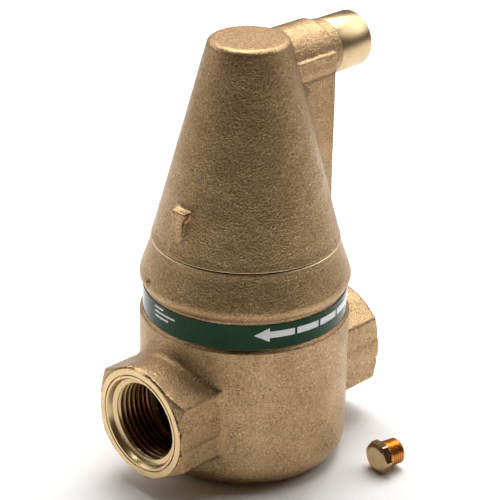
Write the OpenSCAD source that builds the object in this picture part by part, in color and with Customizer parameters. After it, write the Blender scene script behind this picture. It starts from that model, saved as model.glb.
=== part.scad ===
// In-line air separator with a conical air chamber and a float-operated air vent.
// Millimetres, +Z up. The origin is on the body's axis at the middle of its flat base.
// +X runs along the port axis, towards the side that the vent arm points to.

/* [Body] */
// Outside radius of the lower casting
body_r = 38.2; // [37.8:0.1:38.6]
// Height of the seam between the two castings
seam_z = 85.5; // [85:0.1:86]
// Outside radius of the lower casting at the seam
seam_body_r = 33.7; // [33.4:0.1:33.9]
// Radius of the rounded bottom edge
foot_r = 9; // [7:0.5:10]
// Radius of the sump inside the lower casting
sump_r = 33.4; // [32.8:0.1:33.8]
// Thickness of the sump's floor
floor_t = 5; // [4:0.5:5.5]

/* [Label] */
// Height of the label's lower edge
label_z = 58; // [57.8:0.1:58.2]
// Height of the printed band
label_h = 9.4; // [9:0.1:9.6]
// Radius of the recess that the label lies in
recess_r = 36.9; // [36.7:0.1:37]
// Thickness of the label film
label_t = 0.25; // [0.15:0.05:0.35]

/* [Ports] */
// Height of the port axis
port_z = 28; // [27.5:0.5:28.5]
// Distance from the body's axis to each port's face
port_x = 52.4; // [51:0.1:54]
// Radius of the round port boss
port_r = 21.2; // [21:0.1:21.4]
// Distance of the boss's two side flats from the port axis
port_flat = 20.8; // [20.7:0.1:21]
// Height of the flats' upper corners above the port axis
port_up = 13.2; // [12:0.1:13.6]
// Depth of the flats' lower corners below the port axis
port_down = 12.3; // [12:0.1:13.6]
// Radius of the turned ring on the port's face
ring_r = 20.6; // [20:0.1:21]
// Crest radius of the 1 inch pipe thread at its mouth, which is also the radius of the plain bore
port_minor_r = 14.53; // [14.4:0.01:14.7]
// Root radius of the 1 inch pipe thread, where the countersink starts
port_major_r = 16.3; // [16.2:0.05:16.4]

/* [Air chamber] */
// Outside radius of the cone at the seam
cone_r = 34.1; // [34:0.1:34.4]
// Outside radius of the cone at its top
cone_top_r = 14.1; // [13.8:0.1:14.4]
// Height of the flat top
top_z = 159.2; // [159:0.1:160]
// Wall thickness of the cone, measured level
cone_wall = 4.5; // [4:0.1:4.8]
// Rounding of the top edge
top_round = 2.4; // [1.5:0.1:2.6]

/* [Vent arm] */
// Height of the vent arm's axis
arm_z = 147; // [146.8:0.1:147.2]
// Radius of the cast part of the arm
arm_r = 12; // [11.8:0.1:12]
// Distance from the body's axis to the end of the cast part
arm_x = 32; // [31.5:0.1:32.5]
// Radius of the cast neck behind the spigot
neck_r = 10.55; // [10.5:0.01:10.58]
// Radius of the machined spigot
spigot_r = 10.35; // [10.2:0.05:10.35]
// Where the machined spigot starts
spigot_x0 = 37.5; // [37:0.1:38]
// Where the machined spigot ends
spigot_x1 = 53; // [52.5:0.1:53.5]
// Half width of the web under the arm
web_y = 10.6; // [10.4:0.1:10.8]
// Outer face of the web
web_x = 33.3; // [33:0.1:33.5]
// How far the web's side faces stand proud of it below the arm
web_side = 0.5; // [0.3:0.1:0.6]
// Height of the upper edge of the web's side faces
web_side_z = 141.4; // [141:0.1:142]

/* [Vent mechanism] */
// Distance from the float's stem to the lever's pivot
lever_arm = 14; // [13.8:0.1:14.2]
// Height of the lever's pivot
pivot_z = 141; // [140.9:0.1:141.1]
// Radius of the float's stem
stem_r = 1.25; // [1.2:0.01:1.27]
// Radius of the pivot pin
pivot_r = 1; // [0.95:0.01:1.02]
// How far the valve disc stands from its seat when the vent is open
valve_gap = 2.4; // [2.38:0.01:2.5]

/* [Packing] */
// Outside radius of one packing ring
pack_r = 7.7; // [7.4:0.1:7.9]
// Height of one packing ring
pack_h = 14.6; // [14:0.1:14.8]
// Layers of packing rings
pack_layers = 4; // [2:1:4]

/* [Vent plug] */
// Width across the flats of the plug's head
plug_af = 11.1; // [11:0.1:11.2]
// Where the middle of the plug's outer face lies, in X and Y
plug_at = [18.6, -49.9]; // [-60:0.1:60]
// Turn of the plug about the vertical
plug_turn = -10; // [-180:1:180]

/* [Hidden] */
$fn = 96;

gap = 0.05;                // running or assembly clearance
eps = 0.01;                // overshoot of a cutter
taper = (cone_r - cone_top_r) / (top_z - seam_z);

// joint thread between the castings
joint_root = 29.4;         // root radius of the skirt's thread
joint_crest = 30;          // crest radius of the skirt's thread
joint_pitch = 2;
joint_z = 72.5;            // start of the thread
joint_turns = 4;
ledge_z = 69.5;            // ledge that the basket hangs on
skirt_z = 70.6;            // bottom of the air chamber's skirt
seal_z = 82.9;             // floor of the O-ring's counterbore
seal_r = 31.9;

// inside of the air chamber
guard_z = 84;              // shoulder that the float guard rests against
skirt_in_r = 26.2;
ceiling_z = 152.8;
pocket_y = 7;              // half width of the hollow in the web

// vent cartridge, measured along the arm
cart_r = 8;
cart_x0 = 25.2;
cart_x1 = 52.6;
cart_pitch = 1.5;
disc_x = 34.2;             // sealing face of the valve disc with the vent open
seat_x = disc_x + valve_gap;
outlet_x = 43;
outlet_minor = 4.3;        // crest radius of the 1/8 inch pipe thread
outlet_major = 4.95;
outlet_pitch = 0.941;

// basket
basket_r = 28.2;
basket_z = 6;
basket_t = 0.5;

// bracket
sheet_t = 1;
cheek_y = 5.6;             // outer face of the bracket's cheeks

// points of an arc, from angle a0 to a1
function arc(cx, cy, r, a0, a1, n = 8) =
    [for (i = [0:n]) let (a = a0 + (a1 - a0) * i / n) [cx + r * cos(a), cy + r * sin(a)]];

// side of a thread as ridges with flat crests and flat roots, going up in z
function thread_side(crest, root, pitch, z0, turns, flat = 0.12) =
    [for (i = [0:turns - 1], p = [
        [root, z0 + i * pitch], [root, z0 + (i + flat) * pitch],
        [crest, z0 + (i + 0.5 - flat / 2) * pitch], [crest, z0 + (i + 0.5 + flat / 2) * pitch],
        [root, z0 + (i + 1 - flat) * pitch]]) p];

// radius of the cone's outside at height z
function cone_at(z) = cone_r - (z - seam_z) * taper;

// puts a child's +Z axis along the vent arm
module on_arm() { translate([0, 0, arm_z]) rotate([0, 90, 0]) children(); }

// a pin along Y through (x, z)
module pin_y(x, z, r, half) { translate([x, -half, z]) rotate([-90, 0, 0]) cylinder(r = r, h = 2 * half); }

// an outline in X and Z, drawn out along Y from y0 to y1
module plate_xz(points, y0, y1) {
    translate([0, y1, 0]) rotate([90, 0, 0]) linear_extrude(y1 - y0) polygon(points);
}

// holes in rings: each entry is [count, ring radius, hole radius]
module hole_field(rings, z, h) {
    for (ring = rings, i = [0:ring[0] - 1])
        rotate([0, 0, i * 360 / ring[0]]) translate([ring[1], 0, z]) cylinder(r = ring[2], h = h, $fn = 24);
}

// ---------------------------------------------------------------- castings

// where the line from a corner touches the round port boss, side is 1 above and -1 below
function touch(corner, side) =
    let (a = atan2(corner[1], corner[0]) + side * acos(port_r / norm(corner))) port_r * [cos(a), sin(a)];

// puts a child's +Z axis along the port and its +Y axis up
module on_port() { translate([0, 0, port_z]) rotate([90, 0, 90]) children(); }

// one port boss along +X, solid: round above and below, with a flat between two corners on each side
module port_boss() {
    start = 24;
    upper = [port_flat, port_up];
    lower = [port_flat, -port_down];
    half = [touch(upper, 1), upper, lower, touch(lower, -1)];
    other = [for (i = [3:-1:0]) [-half[i][0], half[i][1]]];
    chamfer = (norm(upper) - ring_r) * tan(30);
    on_port() intersection() {
        translate([0, 0, start]) union() {
            linear_extrude(port_x - start) polygon(concat(half, other));
            cylinder(r = port_r + 0.05, h = port_x - start);
        }
        rotate_extrude() polygon([
            [0, 20], [norm(upper) + 1, 20], [norm(upper) + 1, port_x - chamfer],
            [norm(upper), port_x - chamfer], [ring_r, port_x], [0, port_x]]);
    }
}

// everything that is cut from one port along +X: bore, countersink and face groove
module port_cut() {
    on_port() {
        rotate_extrude() polygon([
            [0, 20], [port_minor_r, 20], [port_minor_r, port_x - 2.6], [port_major_r - 0.2, port_x - 2],
            [17.1, port_x + eps], [0, port_x + eps]]);
        rotate_extrude() polygon([[17.9, port_x + eps], [18.15, port_x - 0.9], [18.4, port_x + eps]]);
    }
}

module separator_body() {
    shoulder = 4;
    outside = concat(
        [[0, 0]],
        arc(body_r - foot_r, foot_r, foot_r, -90, 0, 12),
        arc(body_r - 0.8, label_z - 1.4, 0.8, 0, 90, 4),
        [[recess_r, label_z - 0.4]],
        arc(body_r - shoulder, label_z + label_h + shoulder, shoulder, -48, 18, 10),
        [[seam_body_r, seam_z - 0.5], [seam_body_r - 0.4, seam_z], [0, seam_z]]);
    inside = concat(
        [[0, floor_t]],
        arc(sump_r - 8, floor_t + 8, 8, -90, 0, 8),
        [[sump_r, 57], [28.9, 64], [28.9, ledge_z], [joint_root + 0.1, ledge_z]],
        thread_side(joint_crest + 0.1, joint_root + 0.1, joint_pitch, joint_z, joint_turns),
        [[joint_root + 0.1, seal_z], [seal_r, seal_z], [seal_r, seam_z + eps], [0, seam_z + eps]]);
    color("#b08d57") difference() {
        union() {
            rotate_extrude() polygon(outside);
            for (side = [0, 180]) rotate([0, 0, side]) port_boss();
        }
        rotate_extrude() polygon(inside);
        for (side = [0, 180]) rotate([0, 0, side]) port_cut();
    }
}

// the cone and its threaded skirt, solid
module cone_solid() {
    lean = atan(taper);
    rotate_extrude() polygon(concat(
        [[0, skirt_z], [joint_root, skirt_z]],
        thread_side(joint_crest, joint_root, joint_pitch, joint_z, joint_turns),
        [[joint_root, seam_z], [cone_r - 0.5, seam_z], [cone_r, seam_z + 0.5]],
        arc(cone_top_r - top_round + 0.65, top_z - top_round, top_round, lean, 90, 6),
        [[0, top_z]]));
}

// arm, neck and spigot, solid
module arm_solid() {
    on_arm() rotate_extrude() polygon(concat(
        [[0, 0], [arm_r, 0]],
        arc(arm_r - 1.5, arm_x - 1.5, 1.5, 0, 80, 4),
        [[neck_r, arm_x + 0.1], [neck_r, spigot_x0], [spigot_r, spigot_x0],
         [spigot_r, spigot_x1 - 0.6], [spigot_r - 0.6, spigot_x1], [0, spigot_x1]]));
}

// web under the arm, up to a height and out to both sides by y
module web_solid(top, y) {
    plate_xz([[0, 92], [30, 90.5], [web_x, 94], [web_x, top], [0, top]], -y, y);
}

// lug that stands on the cone opposite the arm
module cone_lug() {
    translate([-32.6, 0, 0]) rotate([0, 90, 0]) linear_extrude(6)
        polygon([[-103.4, -2.1], [-103.4, 4.4], [-87.5, 4.2], [-87.5, -0.4], [-99.5, -0.4], [-102, -2.1]]);
}

// hollow inside the cone, the web and the arm
module chamber_hollow() {
    rotate_extrude() polygon([
        [0, skirt_z - eps], [skirt_in_r, skirt_z - eps], [skirt_in_r, 81.2], [27.3, 81.2], [27.3, 82.4],
        [skirt_in_r, 82.4], [skirt_in_r, guard_z], [25.2, guard_z], [25.2, 87],
        [cone_at(91) - cone_wall, 91], [cone_at(150) - cone_wall, 150], [10.6, ceiling_z], [0, ceiling_z]]);
    plate_xz([[8, 103], [22, 103], [28.8, 110], [28.8, 137.5], [22, 140], [22, 150], [8, 150]],
        -pocket_y, pocket_y);
    on_arm() {
        translate([0, 0, 10]) cylinder(r = 6, h = cart_x0 - 10);
        rotate_extrude() polygon(concat(
            [[0, cart_x0 - 0.2], [cart_r + gap, cart_x0 - 0.2]],
            thread_side(cart_r + 0.6, cart_r + gap, cart_pitch, 33, 8),
            [[cart_r + gap, spigot_x1 + eps], [0, spigot_x1 + eps]]));
    }
    for (x = [-5, 5]) translate([x, 0, ceiling_z - eps]) cylinder(r = 1.45, h = 4.6, $fn = 24);
}

module air_chamber() {
    color("#b3905a") difference() {
        union() {
            cone_solid();
            arm_solid();
            web_solid(arm_z, web_y);
            web_solid(web_side_z, web_y + web_side);
            translate([0, -13, 144]) cube([31.5, 26, 6]);
            cone_lug();
        }
        chamber_hollow();
    }
}

module label_band() {
    color("#14492f") difference() {
        rotate_extrude() translate([recess_r + 0.02, label_z]) square([label_t, label_h]);
        rotate([0, 0, 60]) translate([30, -1, label_z - 1]) cube([10, 2, label_h + 2]);
    }
}

module body_o_ring() {
    cord_r = 1.17;
    color("#1c1c1c") rotate_extrude()
        translate([(joint_root + seal_r) / 2, (seal_z + seam_z) / 2]) circle(r = cord_r, $fn = 32);
}

// ---------------------------------------------------------------- packing

module ring_basket() {
    slot_h = 15;
    color("#b9bcc0") difference() {
        rotate_extrude() polygon([
            [0, basket_z], [basket_r, basket_z], [basket_r, ledge_z + gap],
            [joint_root - 0.2, ledge_z + gap], [joint_root - 0.2, ledge_z + gap + basket_t],
            [basket_r - basket_t, ledge_z + gap + basket_t],
            [basket_r - basket_t, basket_z + basket_t], [0, basket_z + basket_t]]);
        for (row = [0:2], i = [0:11]) rotate([0, 0, i * 15 + row * 7.5])
            translate([-40, -1.5, basket_z + 4 + row * (slot_h + 4)]) cube([80, 3, slot_h]);
        hole_field([[1, 0, 2.4], [6, 8, 2.4], [12, 16, 2.4], [18, 23.5, 2.2]], basket_z - 1, 3);
    }
}

module basket_lid() {
    color("#aeb2b6") difference() {
        rotate_extrude() polygon([
            [0, 67.6], [basket_r - basket_t - gap, 67.6], [basket_r - basket_t - gap, 69.2],
            [basket_r - basket_t - 0.8, 69.2], [basket_r - basket_t - 0.8, 68.4], [0, 68.4]]);
        hole_field([[1, 0, 3], [6, 8.5, 3], [12, 16.5, 3], [18, 23.4, 2.6]], 66, 4);
    }
}

// one open ring with two rows of windows
module packing_ring() {
    wall_t = 0.5;
    difference() {
        cylinder(r = pack_r, h = pack_h, $fn = 48);
        translate([0, 0, -1]) cylinder(r = pack_r - wall_t, h = pack_h + 2, $fn = 48);
        for (row = [0, 1], i = [0:4]) rotate([0, 0, i * 72 + row * 36])
            translate([pack_r - 2, -2.6, 2 + row * (pack_h / 2)]) cube([4, 5.2, pack_h / 2 - 4]);
    }
}

module packing_rings() {
    color("#c4c7ca") for (layer = [0:pack_layers - 1])
        translate([0, 0, basket_z + basket_t + 0.2 + layer * (pack_h + 0.3)]) rotate([0, 0, layer * 30]) {
            packing_ring();
            for (i = [0:5]) rotate([0, 0, i * 60]) translate([2 * pack_r + 1.6, 0, 0]) packing_ring();
        }
}

// ---------------------------------------------------------------- float

module float_guard() {
    color("#d8d4c6") difference() {
        union() {
            translate([0, 0, guard_z - 1.4]) cylinder(r = skirt_in_r - gap, h = 1.4 - gap / 2);
            translate([0, 0, 78]) cylinder(r = 4, h = 12);
        }
        translate([0, 0, 77]) cylinder(r = stem_r + 0.07, h = 14);
        hole_field([[8, 9, 2.4], [12, 15, 2.4], [18, 21.5, 2.2]], guard_z - 3, 5);
    }
}

module guard_ring() {
    color("#a7abb0") difference() {
        translate([0, 0, 81.3]) cylinder(r = 27.2, h = 1);
        translate([0, 0, 80]) cylinder(r = 24.9, h = 4);
        translate([20, -3.5, 80]) cube([10, 7, 4]);
    }
}

// height of the float's weld line, and its base and top at rest
float_z0 = 91.2;
float_mid = 100;
float_z1 = 126;

module float_base() {
    color("#e4e0d2") rotate_extrude() polygon([
        [stem_r + 0.1, float_z0], [20.5, float_z0], [22, float_z0 + 1.5], [22, float_mid],
        [20.6, float_mid], [20.6, float_z0 + 2.2], [19.8, float_z0 + 1.4], [3.4, float_z0 + 1.4],
        [3.4, float_mid], [stem_r + 0.1, float_mid]]);
}

module float_dome() {
    z = float_mid + 0.02;
    color("#e9e5d8") rotate_extrude() polygon([
        [stem_r + 0.1, z], [3.4, z], [3.4, float_z1 - 1.4], [10.9, float_z1 - 1.4],
        [20.6, z], [22, z], [12.6, float_z1 - 1.2], [11.4, float_z1], [stem_r + 0.1, float_z1]]);
}

module float_stem() {
    ear = 2.9;
    slot = 1.5;
    color("#c9ccd0") difference() {
        union() {
            translate([0, 0, 79]) cylinder(r = stem_r, h = pivot_z - 4 - 79);
            translate([-1.8, -ear, pivot_z - 4.6]) cube([3.6, 2 * ear, 6.8]);
        }
        translate([-3, -slot, pivot_z - 3.3]) cube([6, 2 * slot, 8]);
        pin_y(0, pivot_z, 0.77, 5, $fn = 32);
    }
}

module stem_clips() {
    clip_t = 0.8;
    color("#8f9398") for (z = [float_z0 - clip_t - 0.1, float_z1 + 0.1])
        translate([0, 0, z]) difference() {
            cylinder(r = 3.2, h = clip_t, $fn = 40);
            translate([0, 0, -1]) cylinder(r = stem_r + 0.01, h = 3, $fn = 40);
            translate([0, -0.9, -1]) cube([5, 1.8, 3]);
        }
}

module link_pin() { color("#d0d3d6") pin_y(0, pivot_z, 0.75, 2.9, $fn = 32); }

// ---------------------------------------------------------------- lever and bracket

module valve_lever() {
    finger_r = 1.2;
    color("#d9d5c8") difference() {
        union() {
            plate_xz([[-3.4, 139.2], [-3.4, 142.8], [lever_arm, 142.8], [lever_arm, 139.2]], -1.3, 1.3);
            pin_y(lever_arm, pivot_z, 2.6, 4.2, $fn = 48);
            for (side = [-1, 1]) {
                plate_xz([[lever_arm - 1.6, pivot_z], [lever_arm - 1.6, arm_z + 1.6],
                    [lever_arm + 1.6, arm_z + 1.6], [lever_arm + 1.6, pivot_z]],
                    side > 0 ? 2.8 : -4.2, side > 0 ? 4.2 : -2.8);
                translate([lever_arm, side > 0 ? 1.45 : -4.2, arm_z]) rotate([-90, 0, 0])
                    cylinder(r = finger_r, h = 2.75, $fn = 32);
            }
        }
        pin_y(lever_arm, pivot_z, pivot_r + gap, 6, $fn = 48);
        for (x = [0.15, -1.45]) pin_y(x, pivot_z, 0.97, 3, $fn = 32);
        plate_xz([[-1.45, pivot_z - 0.97], [0.15, pivot_z - 0.97],
            [0.15, pivot_z + 0.97], [-1.45, pivot_z + 0.97]], -3, 3);
    }
}

module lever_pin() { color("#c9ccd0") pin_y(lever_arm, pivot_z, pivot_r, 6.5, $fn = 48); }

module pin_clips() {
    color("#8f9398") for (side = [0, 1]) mirror([0, side, 0])
        translate([lever_arm, cheek_y + 0.1, pivot_z]) rotate([-90, 0, 0]) difference() {
            cylinder(r = 2.2, h = 0.6, $fn = 40);
            translate([0, 0, -1]) cylinder(r = pivot_r + 0.01, h = 3, $fn = 40);
            translate([0, -0.7, -1]) cube([4, 1.4, 3]);
        }
}

module vent_bracket() {
    top = ceiling_z - 0.02;
    guide_z = 134;
    cheek = [[-6, guide_z], [6, guide_z], [17.4, 138], [17.4, 144], [7.6, top], [-7.6, top], [-7.6, 148]];
    color("#b9bcc0") difference() {
        union() {
            plate_xz(cheek, cheek_y - sheet_t, cheek_y);
            plate_xz(cheek, -cheek_y, sheet_t - cheek_y);
            translate([-7.6, -cheek_y, top - sheet_t]) cube([15.2, 2 * cheek_y, sheet_t]);
            translate([-6, -cheek_y, guide_z]) cube([12, 2 * cheek_y, sheet_t]);
        }
        translate([0, 0, guide_z - 1]) cylinder(r = stem_r + 0.07, h = 4, $fn = 48);
        for (x = [-5, 5]) translate([x, 0, top - 3]) cylinder(r = 1.6, h = 5, $fn = 32);
        pin_y(lever_arm, pivot_z, pivot_r + 0.02, 8, $fn = 48);
    }
}

module bracket_screws() {
    head_z = ceiling_z - 0.02 - sheet_t;
    color("#9a9da1") for (x = [-5, 5]) translate([x, 0, head_z]) difference() {
        union() {
            translate([0, 0, -1.9]) cylinder(r = 2.4, h = 1.9 - 0.01, $fn = 40);
            translate([0, 0, -1]) cylinder(r = 1.42, h = 6.2, $fn = 32);
        }
        for (turn = [0, 90]) rotate([0, 0, turn]) translate([-1.6, -0.3, -2.5]) cube([3.2, 0.6, 1.6]);
    }
}

// ---------------------------------------------------------------- vent cartridge

module vent_cartridge() {
    seal_x = 28.6;
    outlet_turns = 9;
    outlet_start = cart_x1 - 0.8 - outlet_turns * outlet_pitch;
    outside = concat(
        [[0, cart_x0], [cart_r, cart_x0], [cart_r, seal_x - 0.9], [6.6, seal_x - 0.9],
         [6.6, seal_x + 0.9], [cart_r, seal_x + 0.9], [cart_r, 32.5], [cart_r - 0.2, 33]],
        thread_side(cart_r + 0.5, cart_r - 0.1, cart_pitch, 33, 8),
        [[cart_r - 0.2, 45.5], [cart_r, 46], [cart_r, cart_x1 - 0.4], [cart_r - 0.4, cart_x1], [0, cart_x1]]);
    inside = concat(
        [[0, cart_x0 - eps], [4.6, cart_x0 - eps], [4.6, seat_x + 0.6], [2.4, seat_x + 0.6],
         [2.2, seat_x], [1.6, seat_x], [1.6, outlet_x], [outlet_minor, outlet_x]],
        thread_side(outlet_major, outlet_minor, outlet_pitch, outlet_start, outlet_turns, 0.16),
        [[outlet_minor, cart_x1 - 0.8], [outlet_major + 0.3, cart_x1 + eps], [0, cart_x1 + eps]]);
    color("#c7a35d") on_arm() difference() {
        rotate_extrude() polygon(outside);
        rotate_extrude() polygon(inside);
        for (turn = [0, 90]) rotate([0, 0, turn]) translate([-9, -0.8, cart_x1 - 1.2]) cube([18, 1.6, 3]);
    }
}

module cartridge_o_ring() {
    color("#1c1c1c") on_arm() rotate_extrude() translate([7.32, 28.6]) circle(r = 0.7, $fn = 28);
}

module valve_guide() {
    color("#d8d4c6") on_arm() difference() {
        translate([0, 0, cart_x0 + 0.2]) cylinder(r = 4.58, h = 2, $fn = 64);
        translate([0, 0, 20]) cylinder(r = 1.26, h = 12, $fn = 48);
        for (i = [0:3]) rotate([0, 0, 45 + i * 90]) translate([2.95, 0, 20]) cylinder(r = 0.8, h = 12, $fn = 24);
    }
}

module valve_stem() {
    rod = 1.2;
    collar = 2.4;
    groove = 1.4;
    holder = disc_x - 1.2;
    color("#cdb070") on_arm() rotate_extrude() polygon([
        [0, lever_arm - groove - 1.2], [collar, lever_arm - groove - 1.2], [collar, lever_arm - groove],
        [rod, lever_arm - groove], [rod, lever_arm + groove], [collar, lever_arm + groove],
        [collar, lever_arm + groove + 1.2], [rod, lever_arm + groove + 1.2],
        [rod, holder - 2], [3.7, holder - 2], [3.7, holder], [0, holder]]);
}

module valve_disc() {
    color("#202020") on_arm() translate([0, 0, disc_x - 1.19]) cylinder(r = 3.4, h = 1.19, $fn = 64);
}

// round wire along a helix whose two ends are flat
module valve_spring() {
    wire = 0.25;
    coil = 2.1;
    x0 = cart_x0 + 2.25 + wire;
    x1 = disc_x - 3.2 - 0.05 - wire;
    turns = 5;
    steps = 14;
    sides = 8;
    rings = turns * steps;
    function ring_at(i) = [for (k = [0:sides - 1])
        let (a = 360 * i / steps, b = 360 * k / sides, r = coil + wire * cos(b))
        [r * cos(a), r * sin(a), x0 + (x1 - x0) * i / rings + wire * sin(b)]];
    points = [for (i = [0:rings], p = ring_at(i)) p];
    walls = [for (i = [0:rings - 1], k = [0:sides - 1])
        let (n = (k + 1) % sides) [i * sides + k, i * sides + n, (i + 1) * sides + n, (i + 1) * sides + k]];
    start = [for (k = [0:sides - 1]) sides - 1 - k];
    end = [for (k = [0:sides - 1]) rings * sides + k];
    color("#c2c5c8") on_arm() polyhedron(points, concat(walls, [start, end]));
}

// ---------------------------------------------------------------- loose plug

module vent_plug() {
    head_t = 3.4;
    across = plug_af / cos(30);
    face_r = 5;
    thread_r = 5;
    turns = 6;
    color("#b5803c") translate([plug_at[0], plug_at[1], plug_af / 2]) rotate([0, 0, plug_turn])
        rotate([0, 90, 0]) {
            intersection() {
                rotate([0, 0, 30]) cylinder(r = across / 2, h = head_t, $fn = 6);
                rotate_extrude() polygon([
                    [0, 0], [face_r, 0], [across / 2, (across / 2 - face_r) * tan(30)],
                    [across / 2, head_t - 0.4], [across / 2 - 0.6, head_t], [0, head_t]]);
            }
            translate([0, 0, head_t - eps]) rotate_extrude() polygon(concat(
                [[0, 0]],
                thread_side(thread_r, thread_r - 0.62, outlet_pitch, 0, turns),
                [[thread_r - 0.62, turns * outlet_pitch], [thread_r - 0.15, turns * outlet_pitch + 0.4],
                 [thread_r - 0.2, turns * outlet_pitch + 0.9], [thread_r - 0.7, turns * outlet_pitch + 1.3],
                 [0, turns * outlet_pitch + 1.3]]));
        }
}

separator_body();
air_chamber();
label_band();
vent_plug();
body_o_ring();
ring_basket();
basket_lid();
packing_rings();
float_guard();
guard_ring();
float_base();
float_dome();
float_stem();
stem_clips();
link_pin();
valve_lever();
lever_pin();
pin_clips();
vent_bracket();
bracket_screws();
vent_cartridge();
cartridge_o_ring();
valve_guide();
valve_stem();
valve_disc();
valve_spring();
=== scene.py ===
import math

import bmesh
import bpy
import numpy as np
import openvdb
from mathutils import Matrix, Vector


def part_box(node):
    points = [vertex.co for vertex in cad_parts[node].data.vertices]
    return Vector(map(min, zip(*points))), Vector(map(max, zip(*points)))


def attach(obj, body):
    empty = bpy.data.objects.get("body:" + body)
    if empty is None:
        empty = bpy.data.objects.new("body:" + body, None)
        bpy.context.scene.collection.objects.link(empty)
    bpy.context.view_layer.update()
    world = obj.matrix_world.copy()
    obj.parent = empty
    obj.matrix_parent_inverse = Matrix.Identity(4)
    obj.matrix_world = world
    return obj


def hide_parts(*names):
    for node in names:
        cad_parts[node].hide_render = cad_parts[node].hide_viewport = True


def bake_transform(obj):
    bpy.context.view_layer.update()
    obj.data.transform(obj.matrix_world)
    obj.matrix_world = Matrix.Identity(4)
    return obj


# Looks of an in-line air separator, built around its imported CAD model. The two castings are distance
# fields turned into meshes, so that their fillets and edges are as round as cast ones. What is machined
# on them is turned metal of its own. Shapes are worked out in millimetres and stored in metres.

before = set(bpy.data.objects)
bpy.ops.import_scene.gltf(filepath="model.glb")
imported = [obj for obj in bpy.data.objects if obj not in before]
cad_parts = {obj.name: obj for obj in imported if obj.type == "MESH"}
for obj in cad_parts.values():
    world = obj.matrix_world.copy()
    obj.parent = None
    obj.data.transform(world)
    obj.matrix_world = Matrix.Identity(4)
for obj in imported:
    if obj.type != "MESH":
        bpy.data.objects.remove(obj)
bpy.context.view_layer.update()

MM = 0.001

# ---------------------------------------------------------------- dimensions, as in the CAD model

BODY_R = 38.2
SUMP_R = 33.4
LABEL_LOW, LABEL_HIGH = 58.0, 67.4
RECESS_R = 36.9
LABEL_R = 37.17
SEAM_Z = 85.5
RIM_R = 33.7

PORT_Z = 28.0
PORT_X = 52.4
PORT_R = 21.2
PORT_FLAT = 20.8
PORT_UP, PORT_DOWN = 13.2, 12.3
RING_R = 20.6
PORT_CREST_R = 14.53
PORT_ROOT_R = 16.3
PORT_PITCH = 2.209

CONE_R = 34.1
CONE_TOP_R = 14.1
TOP_Z = 159.2
CONE_TAPER = (CONE_R - CONE_TOP_R) / (TOP_Z - SEAM_Z)
CONE_WALL = 4.5

ARM_Z = 147.0
ARM_R = 12.0
ARM_X = 32.0
NECK_R = 10.55
SPIGOT_R = 10.35
SPIGOT_X = (37.5, 53.0)
WEB_Y = 10.6
WEB_X = 33.3
WEB_SIDE, WEB_SIDE_Z = 0.5, 141.4

PLUG_AT = (18.6, -49.9)
PLUG_TURN = -10
PLUG_FLAT = 11.1 / 2
PLUG_HEAD = 3.4
PLUG_THREAD_R = 5.0
PLUG_PITCH = 0.941


# ---------------------------------------------------------------- meshes

def add_piece(name, points, faces, body, slot, crease=None):
    """Makes a smooth mesh piece from points in millimetres.

    Edges sharper than crease degrees stay sharp.
    """
    mesh = bpy.data.meshes.new(name)
    mesh.from_pydata(np.asarray(points, float) * MM, [], faces)
    mesh.validate()
    mesh.shade_smooth()
    if crease:
        mesh.set_sharp_from_angle(angle=math.radians(crease))
    piece = bpy.data.objects.new(name, mesh)
    bpy.context.scene.collection.objects.link(piece)
    if body:
        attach(piece, body)
    return piece


def weld(points, faces, distance=0.002):
    """Merges points closer than distance, drops collapsed faces and turns all faces outwards."""
    mesh = bmesh.new()
    made = [mesh.verts.new(p) for p in points]
    for face in faces:
        mesh.faces.new([made[i] for i in face])
    bmesh.ops.remove_doubles(mesh, verts=mesh.verts, dist=distance)
    bmesh.ops.dissolve_degenerate(mesh, edges=mesh.edges, dist=distance / 4)
    bmesh.ops.recalc_face_normals(mesh, faces=mesh.faces)
    mesh.verts.index_update()
    out = [tuple(v.co) for v in mesh.verts], [[v.index for v in f.verts] for f in mesh.faces]
    mesh.free()
    return out


def ring_faces(rings, count, closed):
    """Faces between rings of count points each. closed joins the last ring to the first."""
    pairs = [(i, (i + 1) % rings) for i in range(rings if closed else rings - 1)]
    return [[a * count + k, a * count + (k + 1) % count, b * count + (k + 1) % count, b * count + k]
            for a, b in pairs for k in range(count)]


def turned(outline, count=160, closed=True):
    """Points and faces of an outline of (radius, height) turned about the Z axis."""
    turn = np.arange(count) * 2 * math.pi / count
    points = [(r * math.cos(t), r * math.sin(t), h) for r, h in outline for t in turn]
    return points, ring_faces(len(outline), count, closed)


def arc(centre, radius, start, end, steps=6):
    """Points of an arc, its angles in degrees."""
    angles = np.radians(np.linspace(start, end, steps + 1))
    return [(centre[0] + radius * math.cos(a), centre[1] + radius * math.sin(a)) for a in angles]


def ridge(phase):
    """Depth of a 60 degree thread over one pitch: 0 on the crest's flat, 1 on the root's flat."""
    return min(1.0, max(0.0, 1.15 - abs(2 * phase - 1) * 1.3))


def helical_thread(low, high, radius, depth, pitch, count=160, steps=12, run_out=0.8):
    """Points and faces of a helical thread about the Z axis, from height low to high.

    The crest lies at radius(height), and depth is measured from it to the root, outwards if positive.
    The thread fades to the crest's radius over run_out pitches at both ends.
    """
    rows = int(((high - low) / pitch + 1) * steps) + 2
    points = []
    for i in range(rows):
        for k in range(count):
            height = low - pitch + pitch * (i / steps + k / count)
            height = min(high, max(low, height))
            fade = min(1.0, (height - low) / (run_out * pitch), (high - height) / (run_out * pitch))
            reach = radius(height) + depth * ridge((i / steps) % 1) * fade
            turn = 2 * math.pi * k / count
            points.append((reach * math.cos(turn), reach * math.sin(turn), height))
    faces = []
    for i in range(rows - 1):
        for k in range(count):
            here, above = i * count + k, (i + 1) * count + k
            if k < count - 1:
                faces.append([here, here + 1, above + 1, above])
            elif i + 1 + steps < rows:
                faces.append([here, (i + steps) * count, (i + 1 + steps) * count, above])
    return points, faces


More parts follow.
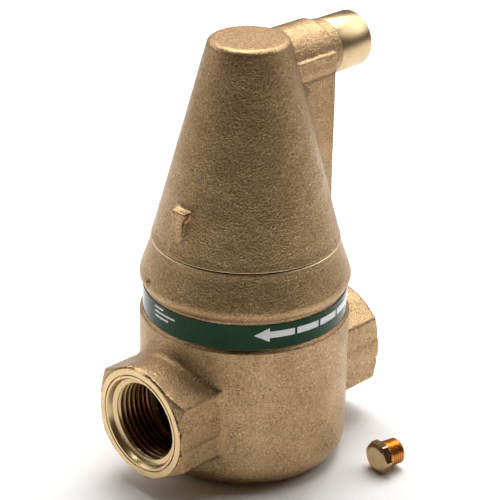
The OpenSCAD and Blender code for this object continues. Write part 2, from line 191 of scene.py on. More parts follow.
def joined(*parts):
    """Points and faces of several parts as one."""
    points, faces = [], []
    for part_points, part_faces in parts:
        start = len(points)
        points += list(part_points)
        faces += [[start + i for i in face] for face in part_faces]
    return points, faces


def moved(points, matrix):
    """Points after a 4 by 4 matrix."""
    flat = np.array(matrix, float)
    return np.asarray(points, float) @ flat[:3, :3].T + flat[:3, 3]


# ---------------------------------------------------------------- distance fields

class Outline:
    """Signed distance to a closed outline in a plane, looked up in a fine table."""
    STEP = 0.12
    MARGIN = 4.0

    def __init__(self, points):
        points = np.array(points, float)
        self.low = points.min(0) - self.MARGIN
        size = np.ceil((points.max(0) + self.MARGIN - self.low) / self.STEP).astype(int) + 1
        a = (self.low[0] + self.STEP * np.arange(size[0]))[:, None]
        b = (self.low[1] + self.STEP * np.arange(size[1]))[None, :]
        nearest = np.full(size, 1e9)
        inside = np.zeros(size, bool)
        for p, q in zip(points, np.roll(points, -1, 0)):
            edge = q - p
            along = ((a - p[0]) * edge[0] + (b - p[1]) * edge[1]) / max(edge @ edge, 1e-12)
            along = np.clip(along, 0, 1)
            gap = (a - p[0] - along * edge[0]) ** 2 + (b - p[1] - along * edge[1]) ** 2
            nearest = np.minimum(nearest, gap)
            if p[1] != q[1]:
                crosses = (b >= min(p[1], q[1])) & (b < max(p[1], q[1]))
                inside ^= crosses & (a < p[0] + (b - p[1]) * edge[0] / edge[1])
        self.table = (np.sqrt(nearest) * np.where(inside, -1, 1)).astype(np.float32)

    def __call__(self, a, b):
        rows = np.clip((a - self.low[0]) / self.STEP, 0, self.table.shape[0] - 1.001)
        cols = np.clip((b - self.low[1]) / self.STEP, 0, self.table.shape[1] - 1.001)
        i, j = rows.astype(int), cols.astype(int)
        u, v = (rows - i).astype(np.float32), (cols - j).astype(np.float32)
        near = self.table[i, j] * (1 - v) + self.table[i, j + 1] * v
        far = self.table[i + 1, j] * (1 - v) + self.table[i + 1, j + 1] * v
        return near * (1 - u) + far * u


def turned_outline(points):
    """Outline of a solid of revolution: what lies on the axis goes well past it, so it is no surface."""
    return Outline([(-20 if r == 0 else r, z) for r, z in points])


def union(a, b, fillet):
    """Union of two fields, with a fillet of about that size in the corner between them."""
    mix = np.clip(0.5 + 0.5 * (b - a) / fillet, 0, 1)
    return b + (a - b) * mix - fillet * mix * (1 - mix)


def common(a, b, rounding):
    """Intersection of two fields, with its edge rounded by about that size."""
    return -union(-a, -b, rounding)


def waves(seed, size, points):
    """Smooth random waves of about that size, from -1 to 1, at each point."""
    draw = np.random.default_rng(seed)
    total = np.zeros(len(points))
    count = 14
    for _ in range(count):
        direction = draw.normal(size=3)
        direction *= 2 * math.pi / (size * draw.uniform(0.7, 1.5) * np.linalg.norm(direction))
        total += np.sin(points @ direction + draw.uniform(0, 2 * math.pi))
    return total / math.sqrt(count)


def cast(field, node, step, seed):
    """Points and faces of a cast surface: where the field is zero, with the slight waves of a sand mould.

    It fills the box of its CAD node and doesn't reach past it.
    """
    lowest, highest = (np.array(corner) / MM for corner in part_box(node))
    low = lowest - 1.5
    axes = [np.arange(low[i], highest[i] + 1.5, step, dtype=np.float32) for i in range(3)]
    values = field(axes[0][:, None, None], axes[1][None, :, None], axes[2][None, None, :])
    grid = openvdb.FloatGrid(3 * step)
    grid.copyFromArray(np.clip(values, -3 * step, 3 * step).astype(np.float32))
    grid.transform = openvdb.createLinearTransform(voxelSize=1.0)
    points, triangles, quads = grid.convertToPolygons(0.0, 0.0)
    points = points * step + low

    def slope(p, reach=0.06):
        parts = []
        for i in range(3):
            ahead, behind = p.copy(), p.copy()
            ahead[:, i] += reach
            behind[:, i] -= reach
            parts.append((field(*ahead.T) - field(*behind.T)) / (2 * reach))
        return np.stack(parts, 1)

    for _ in range(3):
        steep = slope(points)
        points = points - steep * (field(*points.T) / np.maximum((steep ** 2).sum(1), 0.2))[:, None]
    steep = slope(points)
    outwards = steep / np.maximum(np.linalg.norm(steep, axis=1), 1e-6)[:, None]
    lift = 0.05 * waves(seed, 13, points) + 0.018 * waves(seed + 1, 3.2, points)
    points = np.clip(points + outwards * lift[:, None], lowest, highest)
    faces = [list(map(int, f)) for f in triangles] + [list(map(int, f)) for f in quads]
    a, b, c = (points[[f[i] for f in faces]] for i in range(3))
    if (np.cross(b - a, c - a) * outwards[[f[0] for f in faces]]).sum() < 0:
        faces = [f[::-1] for f in faces]
    return points, faces


# ---------------------------------------------------------------- castings

def port_field(x, y, z):
    """Distance field of one port boss along +X: round, with a flat between two corners on each side."""
    side, up = abs(y), z - PORT_Z
    from_axis = np.hypot(y, up)
    section = side - PORT_FLAT
    for height, way in ((PORT_UP, 1), (PORT_DOWN, -1)):
        lean = math.atan2(height, PORT_FLAT) + math.acos(PORT_R / math.hypot(PORT_FLAT, height))
        section = common(section, side * math.cos(lean) + way * up * math.sin(lean) - PORT_R, 0.45)
        section = np.maximum(section, way * up - PORT_R * math.sin(lean))
    section = np.minimum(section, from_axis - PORT_R)
    chamfer = (from_axis - RING_R) / 2 + (x - PORT_X) * math.cos(math.radians(30))
    return common(common(section, chamfer, 0.4), x - PORT_X, 0.3)


def body_field():
    """Distance field of the lower casting, with room for its machined rim and port ends."""
    shoulder = 4.0
    outside = turned_outline(
        [(0, 0)] + arc((BODY_R - 9, 9), 9, -90, 0, 12)
        + arc((BODY_R - 0.8, LABEL_LOW - 1.4), 0.8, 0, 90, 4)
        + [(RECESS_R, LABEL_LOW - 0.4)]
        + arc((BODY_R - shoulder, LABEL_HIGH + shoulder), shoulder, -48, 18, 10)
        + [(RIM_R + 0.14, SEAM_Z - 0.9), (0, SEAM_Z - 0.9)])
    ledge_r, thread_r, rim_seat_r = 28.9, 30.1, 32.6
    ledge_z, rim_seat_z = 69.5, 82.9
    inside = turned_outline(
        [(0, 5)] + arc((SUMP_R - 8, 13), 8, -90, 0, 8)
        + [(SUMP_R, 57), (ledge_r, 64), (ledge_r, ledge_z), (thread_r, ledge_z), (thread_r, rim_seat_z),
           (rim_seat_r, rim_seat_z), (rim_seat_r, SEAM_Z + 3), (0, SEAM_Z + 3)])
    sleeve_r, sleeve_x = 18, 34.2
    pit, pit_r = (-35.3, 13.4, 73.4), 1.3

    def field(x, y, z):
        from_axis = np.hypot(x, y)
        side = abs(x)
        from_port = np.hypot(y, z - PORT_Z)
        above_port = np.clip((z - PORT_Z - 6) / 10, 0, 1)
        solid = union(outside(from_axis, z), port_field(side, y, z), 1.3 + 1.9 * above_port)
        solid = np.maximum(solid, -z)
        bore = np.maximum(from_port - PORT_CREST_R, 20 - side)
        seat = np.maximum(from_port - sleeve_r, sleeve_x - side)
        seat = np.minimum(seat, np.maximum(from_port - RING_R + 0.12, PORT_X - 1.2 - side))
        dent = np.sqrt((x - pit[0]) ** 2 + (y - pit[1]) ** 2 + (z - pit[2]) ** 2) - pit_r
        solid = np.maximum(solid, -inside(from_axis, z))
        solid = np.maximum(np.maximum(solid, -bore), -seat)
        return common(solid, -dent, 0.5)

    return field


def cone_at(z):
    """Outside radius of the cone at a height."""
    return CONE_R - (z - SEAM_Z) * CONE_TAPER


def chamber_field():
    """Distance field of the upper casting, with room for its machined rim and spigot."""
    lean = math.degrees(math.atan(CONE_TAPER))
    rounding = 2.4
    skirt_r, skirt_in_r, skirt_low = 29.3, 26.2, 70.6
    lip_z = SEAM_Z + 0.6
    outside = turned_outline(
        [(0, skirt_low), (skirt_r, skirt_low), (skirt_r, lip_z), (cone_at(lip_z) - 0.15, lip_z)]
        + arc((CONE_TOP_R - rounding + 0.65, TOP_Z - rounding), rounding, lean, 90, 6) + [(0, TOP_Z)])
    inside = turned_outline(
        [(0, 60), (skirt_in_r, 60), (skirt_in_r, 84), (25.2, 84), (25.2, 87), (cone_at(91) - CONE_WALL, 91),
         (cone_at(150) - CONE_WALL, 150), (10.6, 152.8), (0, 152.8)])
    arm = turned_outline(
        [(0, 11.5), (ARM_R, 11.5)] + arc((ARM_R - 1.5, ARM_X - 1.5), 1.5, 0, 80, 5)
        + [(NECK_R, ARM_X + 0.6), (NECK_R, SPIGOT_X[0] - 0.4), (NECK_R - 0.3, SPIGOT_X[0] + 0.1),
           (0, SPIGOT_X[0] + 0.1)])
    web = Outline([(8, 92), (30, 90.5), (WEB_X, 94), (WEB_X, ARM_Z - 2), (8, ARM_Z - 2)])
    pocket = Outline([(8, 103), (22, 103), (28.8, 110), (28.8, 137.5), (22, 140), (22, 150), (8, 150)])
    lug = Outline([(-2.1, 103.4), (4.4, 103.4), (4.2, 87.5), (-0.4, 87.5), (-0.4, 99.5), (-2.1, 102)])
    lug_x, lug_half = -29.6, 3
    rib_x, rib_half = 20, (11.5, 13, 3)
    pocket_half = 7
    bore_r, bore_start = 8.1, 10

    def field(x, y, z):
        from_axis = np.hypot(x, y)
        from_arm = np.hypot(y, z - ARM_Z)
        solid = outside(from_axis, z)
        webbing = common(web(x, z), abs(y) - WEB_Y, 1.1)
        under_neck = np.clip((x - 31.5) / 2, 0, 1)
        limb = union(arm(from_arm, x), webbing, 0.6 + 2.6 * under_neck)
        pad = common(common(web(x, z), z - WEB_SIDE_Z, 0.25), abs(y) - WEB_Y - WEB_SIDE, 0.6)
        limb = union(limb, pad, 0.25)
        rib = common(abs(z - ARM_Z) - rib_half[2], abs(y) - rib_half[1], 0.2)
        rib = common(rib, abs(x - rib_x) - rib_half[0], 0.4)
        limb = union(limb, rib, 0.15)
        beside_web = np.clip((142 - z) / 5, 0, 1)
        solid = union(solid, limb, 0.7 + 3.8 * beside_web)
        spur = common(lug(y, z), abs(x - lug_x) - lug_half, 0.5)
        solid = union(solid, spur, 0.4 + 2.6 * np.clip((y - 1) / 3, 0, 1))
        hollow = np.minimum(inside(from_axis, z), np.maximum(pocket(x, z), abs(y) - pocket_half))
        bore = np.maximum(from_arm - bore_r, bore_start - x)
        solid = np.maximum(solid, z - TOP_Z)
        return np.maximum(np.maximum(solid, -hollow), -bore)

    return field


def castings():
    """The two castings, which take the place of the CAD ones."""
    points, faces = cast(body_field(), "separator_body", 0.82, seed=3)
    body = add_piece("casting_body", points, faces, "housing", "cast_brass_body")
    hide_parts("separator_body")
    points, faces = cast(chamber_field(), "air_chamber", 0.68, seed=8)
    chamber = add_piece("casting_chamber", points, faces, "housing", "cast_brass_cone")
    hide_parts("air_chamber")
    return body, chamber


# ---------------------------------------------------------------- machined areas of the castings

def port_sleeve(side):
    """Machined end of one port: turned ring with its groove, countersink and helical pipe thread."""
    depth_in = 34.0
    shell_r = 19
    mouth = PORT_X - 2.6
    thread_start = mouth - 15.5
    outline = [
        (PORT_CREST_R, mouth), (PORT_CREST_R + 0.25, mouth + 0.12), (PORT_ROOT_R - 0.25, PORT_X - 2.1),
        (PORT_ROOT_R, PORT_X - 1.9), (17.0, PORT_X - 0.12), (17.12, PORT_X),
        (17.86, PORT_X), (17.95, PORT_X - 0.1), (18.08, PORT_X - 0.85), (18.22, PORT_X - 0.85),
        (18.35, PORT_X - 0.1), (18.44, PORT_X), (RING_R - 0.1, PORT_X), (RING_R, PORT_X - 0.12),
        (RING_R, PORT_X - 0.7), (shell_r, PORT_X - 2), (shell_r, depth_in), (PORT_CREST_R, depth_in),
        (PORT_CREST_R, thread_start)]
    shell = turned(outline, closed=False)
    thread = helical_thread(thread_start, mouth, lambda h: PORT_CREST_R, PORT_ROOT_R - PORT_CREST_R,
                            PORT_PITCH)
    points, faces = weld(*joined(shell, thread))
    turn = Matrix.Rotation(math.radians(90 * side), 4, "Y")
    points = moved(points, Matrix.Translation((0, 0, PORT_Z)) @ turn)
    name = "port_end_right" if side > 0 else "port_end_left"
    return add_piece(name, points, faces, "housing", "turned_brass", crease=28)


def seam_rims():
    """Turned edges on both sides of the seam between the castings."""
    shoulder_height = 12.36
    slope = (BODY_R - 0.2 - RIM_R) / shoulder_height
    groove = 32.0
    chamfer = 0.36
    lower_in_r, lower_foot = 31.2, 82.4
    upper_in_r, upper_top = 31.0, 88.6
    low_z, high_z = SEAM_Z - 0.24, SEAM_Z + 0.3
    edge_z = low_z - chamfer
    edge_r = RIM_R + slope * (SEAM_Z - edge_z) + 0.06
    sunk = 0.2
    foot_r = edge_r + slope * (edge_z - lower_foot) - sunk
    lower = [(lower_in_r, lower_foot), (foot_r, lower_foot), (edge_r, edge_z), (edge_r - chamfer, low_z),
             (lower_in_r, low_z)]
    lip_z = high_z + 0.3
    proud_z = 86.4
    upper = [(upper_in_r, low_z + 0.02), (groove, low_z + 0.02), (groove, high_z), (CONE_R - 0.3, high_z),
             (cone_at(lip_z) + 0.04, lip_z), (cone_at(proud_z) + 0.04, proud_z),
             (cone_at(upper_top) - sunk, upper_top), (upper_in_r, upper_top)]
    pieces = []
    for name, outline, slot in (("body_rim", lower, "cast_brass_body"),
                                ("chamber_rim", upper, "cast_brass_cone")):
        points, faces = weld(*turned(outline, count=240))
        rim = add_piece(name, points, faces, "housing", slot, crease=28)
        for face in rim.data.polygons:
            # Faces: 0 cast, 1 bare chamfer, 2 flat faces, which carry the painted shadow of the seam's
            # groove
            face.material_index = int(abs(face.normal.z) > 0.5) + int(abs(face.normal.z) > 0.9)
        pieces.append(rim)
    return pieces


def spigot():
    """Machined end of the vent arm."""
    start, end = SPIGOT_X
    bore_r, relief_r, relief_x = 8.05, 8.65, 45.2
    outline = [
        (SPIGOT_R - 0.25, start - 0.5), (SPIGOT_R, start + 0.05), (SPIGOT_R, end - 0.6),
        (SPIGOT_R - 0.12, end - 0.32), (SPIGOT_R - 0.5, end - 0.03), (SPIGOT_R - 0.62, end),
        (bore_r + 0.15, end), (bore_r, end - 0.15), (bore_r, relief_x + 0.8), (relief_r, relief_x),
        (relief_r, start - 0.5)]
    points, faces = weld(*turned(outline, count=128))
    turn = Matrix.Translation((0, 0, ARM_Z)) @ Matrix.Rotation(math.radians(90), 4, "Y")
    return add_piece("spigot_end", moved(points, turn), faces, "housing", "cast_brass_cone", crease=28)


# ---------------------------------------------------------------- label

def band_patch(columns, inner, outer):
    """Closed thin patch on the body: columns are (azimuth in degrees, lower z, upper z)."""
    points = []
    for azimuth, low, high in columns:
        turn = math.radians(azimuth)
        for r, z in ((inner, low), (outer, low), (outer, high), (inner, high)):
            points.append((r * math.cos(turn), r * math.sin(turn), z))
    faces = ring_faces(len(columns), 4, closed=False)
    last = 4 * (len(columns) - 1)
    return points, faces + [[3, 2, 1, 0], [last, last + 1, last + 2, last + 3]]


def label():
    """Printed film band, with plain marks where a real one has its lettering."""
    gap_azimuth = 60
    half_gap = 1.55
    columns = [(a, LABEL_LOW + 0.02, LABEL_HIGH - 0.02)
               for a in np.linspace(gap_azimuth + half_gap, gap_azimuth + 360 - half_gap, 300)]
    points, faces = weld(*band_patch(columns, RECESS_R - 0.02, LABEL_R))
    film = add_piece("label_strip", points, faces, "housing", "label_film", crease=40)
    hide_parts("label_band")

    def bar(start, end, middle, height):
        steps = max(2, int(abs(end - start) / 1.5) + 1)
        return [(a, middle - height / 2, middle + height / 2) for a in np.linspace(start, end, steps)]

    def arrow_head(base, tip, middle, height):
        columns = []
        for a in np.linspace(base, tip, 6):
            half = max(0.02, height / 2 * (tip - a) / (tip - base))
            columns.append((a, middle - half, middle + half))
        return columns if base < tip else columns[::-1]

    middle = 63.6
    arrow_start, dash_pitch, dash, head = 238, 16, 14.5, 8.5
    arrow_end = arrow_start + 63
    marks = [arrow_head(arrow_start, arrow_start - head, middle, 5.4),
             arrow_head(arrow_end, arrow_end + head, middle, 5.4)]
    for start in (arrow_start + dash_pitch * i for i in range(4)):
        marks.append(bar(start, start + dash, middle, 2.5))
    line_start, line_top, line_pitch = 166, 66.0, 1.75
    for i, end in enumerate((174, 183, 178)):
        marks.append(bar(line_start, end, line_top - line_pitch * i, 0.75))
    parts = [weld(*band_patch(mark, LABEL_R - 0.03, LABEL_R + 0.02)) for mark in marks]
    ink = add_piece("label_marks", *joined(*parts), "housing", "label_film", crease=40)
    return film, ink


# ---------------------------------------------------------------- loose plug and valve spring

def plug():
    """Loose vent plug: hexagonal head with turned face, and a tapered helical thread."""
    count = 144
    face_r = 5.0
    turn = np.arange(count) * 2 * math.pi / count
    corner_round = 0.12
    away = np.abs((turn + math.pi / 6) % (math.pi / 3) - math.pi / 6)
    hexagon = PLUG_FLAT / np.cos(away)
    hexagon = np.minimum(hexagon, PLUG_FLAT / math.cos(math.pi / 6) - corner_round)
    drop = (hexagon - face_r) * math.tan(math.radians(30))

    def ring(radius, height):
        return np.stack([radius * np.cos(turn), radius * np.sin(turn), height + 0 * turn], 1)

    rings = [ring(0.02, 0.12), ring(3.3, 0.12), ring(3.6, 0.0)]
    rings += [ring(face_r - 0.05, 0.0), ring(face_r, 0.02)]
    rings += [ring(hexagon - 0.05, drop - 0.03), ring(hexagon, drop + 0.05)]
    rings += [ring(hexagon, PLUG_HEAD - 0.34), ring(hexagon - 0.06, PLUG_HEAD - 0.26)]
    rings += [ring(np.minimum(hexagon - 0.06, 5.7), PLUG_HEAD - 0.02), ring(5.5, PLUG_HEAD)]
    rings += [ring(4.75, PLUG_HEAD), ring(4.62, PLUG_HEAD + 0.12), ring(4.62, PLUG_HEAD + 0.45)]
    thread_start = PLUG_HEAD + 0.75
    end = PLUG_HEAD + 6 * PLUG_PITCH + 1.3
    thread_end = end - 0.45

    def crest(height):
        return PLUG_THREAD_R - (height - thread_start) / 32

    rings += [ring(crest(thread_start), thread_start)]
    head = np.concatenate(rings), ring_faces(len(rings), count, closed=False)
    rings = [ring(crest(thread_end), thread_end), ring(crest(end) - 0.3, end - 0.08),
             ring(crest(end) - 0.5, end), ring(0.02, end)]
    tip = np.concatenate(rings), ring_faces(len(rings), count, closed=False)
    thread = helical_thread(thread_start, thread_end, crest, -0.62, PLUG_PITCH, count=count, run_out=0.6)
    points, faces = joined(head, thread, tip)
    points, faces = weld(points, faces, distance=0.004)
    place = (Matrix.Translation((*PLUG_AT, PLUG_FLAT)) @ Matrix.Rotation(math.radians(PLUG_TURN), 4, "Z")
             @ Matrix.Rotation(math.radians(90), 4, "Y"))
    piece = add_piece("plug_loose", moved(points, place), faces, "plug", "turned_brass", crease=24)
    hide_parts("vent_plug")
    return piece


def spring():
    """Closing spring of the vent valve, between the cartridge and the valve."""
    wire, coil, turns = 0.25, 2.1, 5
    start, end = 27.7, 30.7
    steps, sides = 24, 10
    points = []
    for i in range(turns * steps + 1):
        a = 2 * math.pi * i / steps
        along = start + (end - start) * i / (turns * steps)
        for k in range(sides):
            b = 2 * math.pi * k / sides
            reach = coil + wire * math.cos(b)
            points.append((along + wire * math.sin(b), -reach * math.sin(a), ARM_Z + reach * math.cos(a)))
    rings = turns * steps + 1
    faces = ring_faces(rings, sides, closed=False)
    faces += [list(range(sides)), list(range((rings - 1) * sides, rings * sides))[::-1]]
    points, faces = weld(points, faces)
    piece = add_piece("spring_coil", points, faces, None, "spring_steel")
    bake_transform(piece)
    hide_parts("valve_spring")
    return piece


# ---------------------------------------------------------------- materials

class Recipe:
    """One node material on a Principled shader. Sizes are in millimetres."""

    def __init__(self, name, **values):
        self.material = bpy.data.materials.new(name)
        self.material.use_nodes = True
        self.nodes = self.material.node_tree.nodes
        self.shader = self.nodes["Principled BSDF"]
        for socket, value in values.items():
            self.shader.inputs[socket.replace("_", " ")].default_value = value
        self.place = self.add("ShaderNodeTexCoord").outputs["Object"]

    def link(self, source, target):
        self.material.node_tree.links.new(source, target)

    def add(self, kind, **settings):
        node = self.nodes.new(kind)
        for key, value in settings.items():
            setattr(node, key, value)
        return node

    def feed(self, node, **values):
        for socket, value in values.items():
            target = node.inputs[socket.replace("_", " ")]
            if isinstance(value, bpy.types.NodeSocket):
                self.link(value, target)
            else:
                target.default_value = value

    def shifted(self, centre, stretch=(1, 1, 1)):
        """Coordinates in metres from a centre in millimetres, each axis stretched."""
        node = self.add("ShaderNodeMapping")
        offset = [-c * MM * s for c, s in zip(centre, stretch)]
        self.feed(node, Vector=self.place, Location=offset, Scale=stretch)
        return node.outputs["Vector"]

    def noise(self, size, detail=2.0, rough=0.5, place=None):
        node = self.add("ShaderNodeTexNoise")
        self.feed(node, Vector=place or self.place, Scale=1 / (size * MM), Detail=detail, Roughness=rough)
        return node.outputs["Fac"]

    def apart(self, place=None):
        """The three coordinates, in metres."""
        node = self.add("ShaderNodeSeparateXYZ")
        self.feed(node, Vector=place or self.place)
        return node.outputs

    def cells(self, size):
        """A random grey for each cell of about that size."""
        node = self.add("ShaderNodeTexVoronoi")
        self.feed(node, Vector=self.place, Scale=1 / (size * MM))
        split = self.add("ShaderNodeSeparateColor")
        self.feed(split, Color=node.outputs["Color"])
        return split.outputs["Red"]

    def lines(self, period, axis, kind="BANDS", place=None):
        """Nearly straight bands across an axis, or rings about it."""
        node = self.add("ShaderNodeTexWave", wave_type=kind)
        setattr(node, "bands_direction" if kind == "BANDS" else "rings_direction", axis)
        self.feed(node, Vector=place or self.place, Scale=0.314 / (period * MM), Distortion=0.08)
        return node.outputs["Fac"]

    def ramp(self, factor, *stops):
        """A colour or grey ramp from (position, value) stops."""
        node = self.add("ShaderNodeValToRGB")
        ends = node.color_ramp.elements
        while len(ends) < len(stops):
            ends.new(0.5)
        for element, (position, value) in zip(ends, stops):
            element.position = position
            element.color = (*value, 1) if isinstance(value, tuple) else (value, value, value, 1)
        self.feed(node, Fac=factor)
        return node.outputs["Color"]

    def mix(self, factor, a, b, blend="MIX"):
        node = self.add("ShaderNodeMix", data_type="RGBA", blend_type=blend)
        for socket, value in ((0, factor), (6, a), (7, b)):
            if isinstance(value, bpy.types.NodeSocket):
                self.link(value, node.inputs[socket])
            else:
                node.inputs[socket].default_value = value if socket == 0 else (*value, 1)
        return node.outputs[2]

    def math(self, operation, a, b):
        node = self.add("ShaderNodeMath", operation=operation)
        for i, value in enumerate((a, b)):
            if isinstance(value, bpy.types.NodeSocket):
                self.link(value, node.inputs[i])
            else:
                node.inputs[i].default_value = value
        return node.outputs[0]

    def bump(self, height, distance, strength=1.0, under=None):
        node = self.add("ShaderNodeBump")
        self.feed(node, Height=height, Distance=distance * MM, Strength=strength)
        if under:
            self.feed(node, Normal=under)
        return node.outputs["Normal"]

    def finish(self, **sockets):
        for socket, source in sockets.items():
            self.link(source, self.shader.inputs[socket.replace("_", " ")])
        return self.material


def cast_brass(name, shade_inside_r=0):
    """Sand-cast brass, grainy and tan brown.

    Given a radius in metres, it is painted near black inside that radius above the body's floor: painted
    shade in the hollow body.
    """
    m = Recipe(name, Metallic=1.0)
    broad = m.noise(16, 3.0)
    grain = m.noise(0.66, 2.5, 0.6)
    coarse = m.noise(1.9, 2.0)
    patch = m.ramp(m.noise(7, 2.0), (0.35, 0.65), (0.65, 1.0))
    tone = m.ramp(broad, (0.3, (0.44, 0.285, 0.145)), (0.7, (0.52, 0.355, 0.19)))
    pits = m.ramp(grain, (0.36, 0.50), (0.48, 0.90), (0.62, 1.16))
    tone = m.mix(patch, tone, m.mix(1.0, tone, pits, "MULTIPLY"))
    spark = m.ramp(m.cells(0.5), (0.975, 0.0), (0.99, 0.45))
    tone = m.mix(spark, tone, (0.9, 0.72, 0.48))
    # Painted shade inside the hollow body, above its floor
    if shade_inside_r:
        x, y, z = m.apart()
        squares = m.math("ADD", m.math("POWER", x, 2), m.math("POWER", y, 2))
        near = m.math("LESS_THAN", squares, shade_inside_r ** 2)
        raised = m.math("MULTIPLY", m.math("GREATER_THAN", z, 0.004), m.math("LESS_THAN", z, 0.08))
        tone = m.mix(m.math("MULTIPLY", near, raised), tone, (0.09, 0.045, 0.02))
    rough = m.ramp(broad, (0.3, 0.45), (0.7, 0.38))
    height = m.math("MULTIPLY", grain, patch)
    normal = m.bump(height, 0.36, 1.0)
    normal = m.bump(coarse, 0.08, 0.7, normal)
    return m.finish(Base_Color=tone, Roughness=rough, Normal=normal)


def turned_face(name, colour, axis, period, centre=(0, 0, 0), rough=0.24, painted_shade_x=None):
    """Machined brass with the fine rings that a lathe leaves.

    Between the two distances from the YZ plane that its last argument gives, it darkens towards that plane:
    painted shade deep inside a bore.
    """
    m = Recipe(name, Metallic=1.0)
    place = m.shifted(centre)
    rings = m.lines(period, axis, "RINGS", place)
    steps = m.lines(period, axis, "BANDS", place)
    stain = m.noise(6, 3.0)
    tone = m.ramp(stain, (0.3, tuple(0.88 * c for c in colour)), (0.65, colour))
    # Painted shade: darker deeper inside the bore, between the two distances from the YZ plane
    if painted_shade_x:
        depth = m.math("ABSOLUTE", m.apart()[0], 0)
        deep = m.ramp(m.math("DIVIDE", depth, painted_shade_x[1] * MM), (painted_shade_x[0] / painted_shade_x[1], 1.0), (1.0, 0.0))
        tone = m.mix(deep, tone, (0.30, 0.12, 0.045))
    smooth = m.ramp(stain, (0.3, rough + 0.07), (0.7, rough))
    normal = m.bump(rings, 0.012, 0.5)
    normal = m.bump(steps, 0.012, 0.5, normal)
    return m.finish(Base_Color=tone, Roughness=smooth, Normal=normal)


def film(name):
    """Glossy printed film, dark green with slight patches."""
    m = Recipe(name, Coat_Weight=1.0, Coat_IOR=1.2, Coat_Roughness=0.07, Specular_IOR_Level=0.04)
    patches = m.noise(18, 2.0)
    tone = m.ramp(patches, (0.35, (0.001, 0.038, 0.011)), (0.65, (0.005, 0.064, 0.026)))
    normal = m.bump(m.noise(5, 1.0), 0.05, 0.3)
    smooth = m.ramp(m.noise(3, 2.0), (0.3, 0.22), (0.7, 0.30))
    return m.finish(Base_Color=tone, Roughness=smooth, Normal=normal)


def ink(name):
    """White print, slightly uneven."""
    m = Recipe(name, Coat_Weight=1.0, Coat_IOR=1.2, Coat_Roughness=0.07, Specular_IOR_Level=0.04)
    tone = m.ramp(m.noise(1.2, 3.0), (0.3, (0.86, 0.88, 0.90)), (0.7, (0.95, 0.96, 0.98)))
    smooth = m.ramp(m.noise(3, 2.0), (0.3, 0.25), (0.7, 0.34))
    return m.finish(Base_Color=tone, Roughness=smooth)


def sheet_steel(name, colour=(0.62, 0.63, 0.64), rough=0.3):
    """Bright steel, with grain along one way."""
    m = Recipe(name, Metallic=1.0)
    grain = m.noise(1.6, 3.0, 0.6, m.shifted((0, 0, 0), (9, 9, 0.6)))
    tone = m.ramp(m.noise(9), (0.3, tuple(0.86 * c for c in colour)), (0.7, colour))
    smooth = m.ramp(grain, (0.3, rough - 0.07), (0.7, rough + 0.1))
    return m.finish(Base_Color=tone, Roughness=smooth, Normal=m.bump(grain, 0.01, 0.4))


def moulded(name, colour, rough=0.42):
    """Moulded plastic with a faint texture."""
    m = Recipe(name)
    tone = m.ramp(m.noise(7, 3.0), (0.3, tuple(0.93 * c for c in colour)), (0.7, colour))
    smooth = m.ramp(m.noise(2, 2.0), (0.3, rough - 0.05), (0.7, rough + 0.08))
    return m.finish(Base_Color=tone, Roughness=smooth, Normal=m.bump(m.noise(0.4, 2.0), 0.01, 0.4))


def rubber(name):
    """Matt black rubber."""
    m = Recipe(name)
    tone = m.ramp(m.noise(2, 3.0), (0.3, (0.012, 0.012, 0.012)), (0.7, (0.026, 0.026, 0.025)))
    smooth = m.ramp(m.noise(1, 2.0), (0.3, 0.62), (0.7, 0.78))
    return m.finish(Base_Color=tone, Roughness=smooth, Normal=m.bump(m.noise(0.3, 2.0), 0.012, 0.5))


def plug_brass(name):
    """Machined brass of the loose plug: its head is duller, its thread has more copper in its colour."""
    m = Recipe(name, Metallic=1.0)
    stain = m.noise(2.4, 3.0)
    turn = math.radians(-PLUG_TURN)
    reach = 8
    place = m.add("ShaderNodeMapping")
    m.feed(place, Vector=m.shifted((*PLUG_AT, PLUG_FLAT)), Rotation=(0, 0, turn))
    along = m.math("MULTIPLY", m.apart(place.outputs["Vector"])[0], 1 / (reach * MM))
    neck = PLUG_HEAD / reach
    tone = m.ramp(along, (neck - 0.02, (0.56, 0.40, 0.22)), (neck + 0.05, (0.80, 0.42, 0.13)))
    tone = m.mix(m.ramp(stain, (0.3, 0.28), (0.7, 0.0)), tone, (0.30, 0.15, 0.05))
    smooth = m.ramp(stain, (0.3, 0.27), (0.7, 0.19))
    return m.finish(Base_Color=tone, Roughness=smooth, Normal=m.bump(m.noise(0.35, 2.0), 0.008, 0.5))


def dress(piece, *materials):
    """Gives a piece or a CAD node its material, or the materials that its faces number."""
    numbers = [face.material_index for face in piece.data.polygons]
    piece.data.materials.clear()
    for material in materials:
        piece.data.materials.append(material)
    if len(materials) > 1:
        piece.data.polygons.foreach_set("material_index", numbers)


def dress_internals(clips):
    """Materials of the CAD nodes that stay: everything held inside, and the cartridge in the arm."""
    steel = sheet_steel("stainless_sheet")
    rod = sheet_steel("stainless_rod", (0.70, 0.71, 0.72), 0.22)
    white = moulded("white_plastic", (0.78, 0.76, 0.70))
    shell = moulded("float_plastic", (0.82, 0.80, 0.74), 0.5)
    seal = rubber("seal_rubber")
    brass = turned_face("insert_brass", (0.78, 0.58, 0.30), "X", 0.2, (0, 0, ARM_Z))
    for names, material in (
            (("ring_basket", "basket_lid", "packing_rings", "vent_bracket"), steel),
            (("float_stem", "link_pin", "lever_pin", "bracket_screws"), rod),
            (("guard_ring", "stem_clips", "pin_clips"), clips),
            (("float_guard", "valve_lever", "valve_guide"), white),
            (("float_base", "float_dome"), shell),
            (("body_o_ring", "cartridge_o_ring", "valve_disc"), seal),
            (("vent_cartridge", "valve_stem"), brass)):
        for name in names:
            dress(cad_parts[name], material)


# ---------------------------------------------------------------- studio

def soft_light(name, place, size, power, aim=(0, 0, 0.08)):
    """A soft rectangular light that faces aim."""
    light = bpy.data.lights.new(name, "AREA")
    light.shape = "RECTANGLE"
    light.size, light.size_y = size
    light.energy = power
    holder = bpy.data.objects.new(name, light)
    bpy.context.scene.collection.objects.link(holder)
    holder.location = place
    holder.rotation_euler = (Vector(aim) - Vector(place)).to_track_quat("-Z", "Y").to_euler()


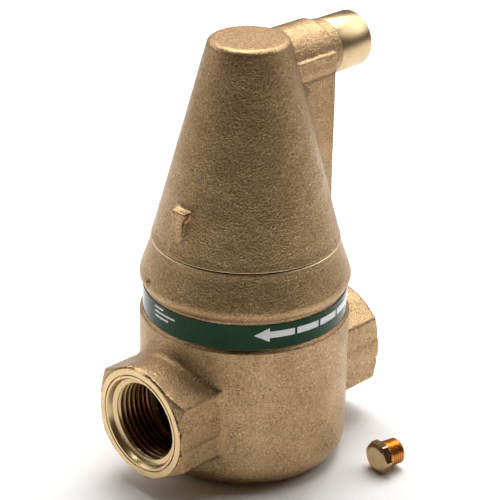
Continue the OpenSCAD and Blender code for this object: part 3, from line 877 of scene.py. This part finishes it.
def studio():
    """Pale floor, soft light from both sides and above, and a world that is white to look at."""
    mesh = bpy.data.meshes.new("floor")
    reach = 1.3
    mesh.from_pydata([(-reach, -reach, 0), (reach, -reach, 0), (reach, reach, 0), (-reach, reach, 0)],
                     [], [(0, 1, 2, 3)])
    floor = bpy.data.objects.new("floor", mesh)
    floor.location.z = -0.0003
    bpy.context.scene.collection.objects.link(floor)
    paper = Recipe("floor_paper", Roughness=0.9, Specular_IOR_Level=0.1)
    tone = paper.ramp(paper.noise(400), (0.3, 0.93), (0.7, 0.95))
    dress(floor, paper.finish(Base_Color=tone))

    soft_light("back_left", (-0.1, 0.8, 0.55), (1.1, 0.6), 3.0)
    soft_light("back_right", (0.75, -0.15, 0.68), (1.1, 0.6), 4.9)
    soft_light("overhead", (0.3, 0.3, 1.2), (1.0, 1.0), 19)

    world = bpy.data.worlds.new("studio")
    bpy.context.scene.world = world
    world.use_nodes = True
    tree = world.node_tree
    seen = tree.nodes.new("ShaderNodeBackground")
    seen.inputs["Color"].default_value = (1, 1, 1, 1)
    seen.inputs["Strength"].default_value = 1.0
    light = tree.nodes["Background"]
    light.inputs["Color"].default_value = (1.0, 0.68, 0.42, 1)
    light.inputs["Strength"].default_value = 0.048
    path = tree.nodes.new("ShaderNodeLightPath")
    blend = tree.nodes.new("ShaderNodeMixShader")
    tree.links.new(path.outputs["Is Camera Ray"], blend.inputs[0])
    tree.links.new(light.outputs[0], blend.inputs[1])
    tree.links.new(seen.outputs[0], blend.inputs[2])
    tree.links.new(blend.outputs[0], tree.nodes["World Output"].inputs["Surface"])
    bpy.context.scene.view_settings.view_transform = "Standard"


def camera():
    """The camera, which looks down at the object from its front left."""
    lens = bpy.data.cameras.new("camera")
    lens.sensor_width = 36
    lens.lens = 136.56
    lens.shift_x = -0.0018
    lens.shift_y = -0.0152
    lens.clip_start = 0.01
    holder = bpy.data.objects.new("camera", lens)
    bpy.context.scene.collection.objects.link(holder)
    place = (-0.44254, -0.42968, 0.37136)
    look = Vector((0.65141, 0.62865, -0.42481))
    roll = math.radians(1.053)
    turn = look.to_track_quat("-Z", "Y").to_matrix() @ Matrix.Rotation(roll, 3, "Z")
    holder.matrix_world = Matrix.Translation(place) @ turn.to_4x4()
    bpy.context.scene.camera = holder


# ---------------------------------------------------------------- the object

camera()
studio()

body, chamber = castings()
# The body's inside gets painted shade.
dress(body, cast_brass("body_brass", shade_inside_r=0.0339))
chamber_brass = cast_brass("chamber_brass")
dress(chamber, chamber_brass)
bare_edge = turned_face("bare_edge", (0.92, 0.74, 0.47), "Z", 0.3, rough=0.52)
# Near-black brass on the rims' flat faces: a painted shadow in the seam's groove
painted_joint_shadow = turned_face("painted_joint_shadow", (0.09, 0.05, 0.03), "Z", 0.3, rough=0.6)
for rim in seam_rims():
    dress(rim, chamber_brass, bare_edge, painted_joint_shadow)

# The port thread gets painted shade deeper inside the bore.
port_brass = turned_face("port_brass", (0.76, 0.57, 0.31), "X", 0.3, (0, 0, PORT_Z), 0.26, (40, PORT_X - 2))
for side in (-1, 1):
    dress(port_sleeve(side), port_brass)
dress(spigot(), turned_face("spigot_brass", (0.66, 0.50, 0.28), "X", 0.25, (0, 0, ARM_Z), 0.30))

label_film, label_ink = label()
dress(label_film, film("green_film"))
dress(label_ink, ink("white_ink"))
dress(plug(), plug_brass("plug_brass"))

spring_steel = sheet_steel("spring_steel", (0.45, 0.46, 0.48), 0.28)
dress_internals(spring_steel)
dress(spring(), spring_steel)
